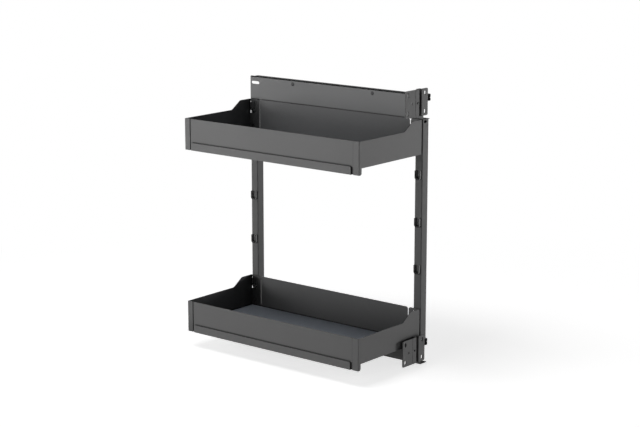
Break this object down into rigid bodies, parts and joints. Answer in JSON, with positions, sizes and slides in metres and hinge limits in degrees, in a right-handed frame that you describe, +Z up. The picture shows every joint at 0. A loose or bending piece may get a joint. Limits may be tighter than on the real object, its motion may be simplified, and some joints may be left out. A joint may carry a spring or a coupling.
{
  "type": "pull_out_bottle_rack",
  "caption": "Pull-out bottle rack for a narrow base unit: sheet metal trays hang on posts between rails on full extension ball slides",
  "frame": {"origin": "centre of the upper slide's two fixing holes, on the face that lies on the cabinet wall", "axes": "+X along the pull-out travel towards the door, +Y into the cabinet wall, +Z up"},
  "size_m": [0.46, 0.233, 0.5642],
  "materials": {
    "grey_lacquer": "satin powder coat",
    "zinc_steel": "zinc plated",
    "cage_steel": "plain strip",
    "ball_steel": "polished",
    "rivet_steel": "zinc plated",
    "mat_plastic": "fine grained, slightly glossy",
    "black_plastic": "moulded",
    "unit_plastic": "moulded",
    "buffer_rubber": "dull"
  },
  "bodies": {
    "cabinet_side": {"lower_cabinet_member": "zinc_steel", "lower_rear_buffer": "buffer_rubber", "soft_close_activator": "unit_plastic", "upper_cabinet_member": "zinc_steel", "upper_rear_buffer": "buffer_rubber"},
    "upper_middle": {"upper_middle_member": "zinc_steel"},
    "upper_outer_ball_cage": {"upper_outer_balls": "ball_steel", "upper_outer_cage": "cage_steel"},
    "upper_inner_ball_cage": {"upper_inner_balls": "ball_steel", "upper_inner_cage": "cage_steel"},
    "upper_roller": {"upper_guide_roller": "black_plastic"},
    "upper_tray": {"upper_tray_base": "grey_lacquer", "upper_tray_door_end": "grey_lacquer", "upper_tray_long_side": "grey_lacquer", "upper_tray_mat": "mat_plastic", "upper_tray_rear_end": "grey_lacquer", "upper_tray_rest_pads": "black_plastic", "upper_tray_trim_strip": "grey_lacquer"},
    "lower_middle": {"lower_middle_member": "zinc_steel"},
    "lower_outer_ball_cage": {"lower_outer_balls": "ball_steel", "lower_outer_cage": "cage_steel"},
    "lower_inner_ball_cage": {"lower_inner_balls": "ball_steel", "lower_inner_cage": "cage_steel"},
    "lower_roller": {"lower_guide_roller": "black_plastic"},
    "lower_tray": {"lower_tray_base": "grey_lacquer", "lower_tray_door_end": "grey_lacquer", "lower_tray_long_side": "grey_lacquer", "lower_tray_mat": "mat_plastic", "lower_tray_rear_end": "grey_lacquer", "lower_tray_rest_pads": "black_plastic", "lower_tray_trim_strip": "grey_lacquer"},
    "pull_out_frame": {"carrier_rivets": "rivet_steel", "front_post": "grey_lacquer", "front_post_hooks": "black_plastic", "lower_door_arm": "grey_lacquer", "lower_door_plate": "grey_lacquer", "lower_drawer_member": "zinc_steel", "lower_rail": "grey_lacquer", "lower_slide_carriers": "grey_lacquer", "plate_rivets": "rivet_steel", "rail_rivets": "rivet_steel", "rear_post": "grey_lacquer", "rear_post_hooks": "black_plastic", "soft_close_catch": "unit_plastic", "soft_close_cylinder": "rivet_steel", "soft_close_housing": "unit_plastic", "soft_close_piston": "rivet_steel", "upper_door_arm": "grey_lacquer", "upper_door_plate": "grey_lacquer", "upper_drawer_member": "zinc_steel", "upper_rail": "grey_lacquer", "upper_slide_carriers": "grey_lacquer"}
  },
  "joints": [
    {"name": "pull_out", "type": "slide", "parent": "cabinet_side", "child": "pull_out_frame", "axis": [1, 0, 0], "range_m": [0, 0.4]},
    {"name": "upper_middle_travel", "type": "slide", "parent": "cabinet_side", "child": "upper_middle", "axis": [1, 0, 0], "range_m": [0, 0.2]},
    {"name": "upper_outer_ball_cage_travel", "type": "slide", "parent": "cabinet_side", "child": "upper_outer_ball_cage", "axis": [1, 0, 0], "range_m": [0, 0.1]},
    {"name": "upper_inner_ball_cage_travel", "type": "slide", "parent": "cabinet_side", "child": "upper_inner_ball_cage", "axis": [1, 0, 0], "range_m": [0, 0.3]},
    {"name": "lower_middle_travel", "type": "slide", "parent": "cabinet_side", "child": "lower_middle", "axis": [1, 0, 0], "range_m": [0, 0.2]},
    {"name": "lower_outer_ball_cage_travel", "type": "slide", "parent": "cabinet_side", "child": "lower_outer_ball_cage", "axis": [1, 0, 0], "range_m": [0, 0.1]},
    {"name": "lower_inner_ball_cage_travel", "type": "slide", "parent": "cabinet_side", "child": "lower_inner_ball_cage", "axis": [1, 0, 0], "range_m": [0, 0.3]},
    {"name": "upper_tray_lift", "type": "slide", "parent": "pull_out_frame", "child": "upper_tray", "axis": [0, 0, 1], "range_m": [0, 0.005]},
    {"name": "lower_tray_lift", "type": "slide", "parent": "pull_out_frame", "child": "lower_tray", "axis": [0, 0, 1], "range_m": [0, 0.005]},
    {"name": "upper_roller_turn", "type": "hinge", "parent": "pull_out_frame", "child": "upper_roller", "pos_m": [0.22, -0.0066, 0.01795], "axis": [0, 0, 1], "continuous": true},
    {"name": "lower_roller_turn", "type": "hinge", "parent": "pull_out_frame", "child": "lower_roller", "pos_m": [0.22, -0.0066, -0.48105], "axis": [0, 0, 1], "continuous": true}
  ],
  "couplings": [
    {"joint": "upper_middle_travel", "follows": "pull_out", "ratio": 0.5},
    {"joint": "upper_outer_ball_cage_travel", "follows": "pull_out", "ratio": 0.25},
    {"joint": "upper_inner_ball_cage_travel", "follows": "pull_out", "ratio": 0.75},
    {"joint": "lower_middle_travel", "follows": "pull_out", "ratio": 0.5},
    {"joint": "lower_outer_ball_cage_travel", "follows": "pull_out", "ratio": 0.25},
    {"joint": "lower_inner_ball_cage_travel", "follows": "pull_out", "ratio": 0.75}
  ]
}
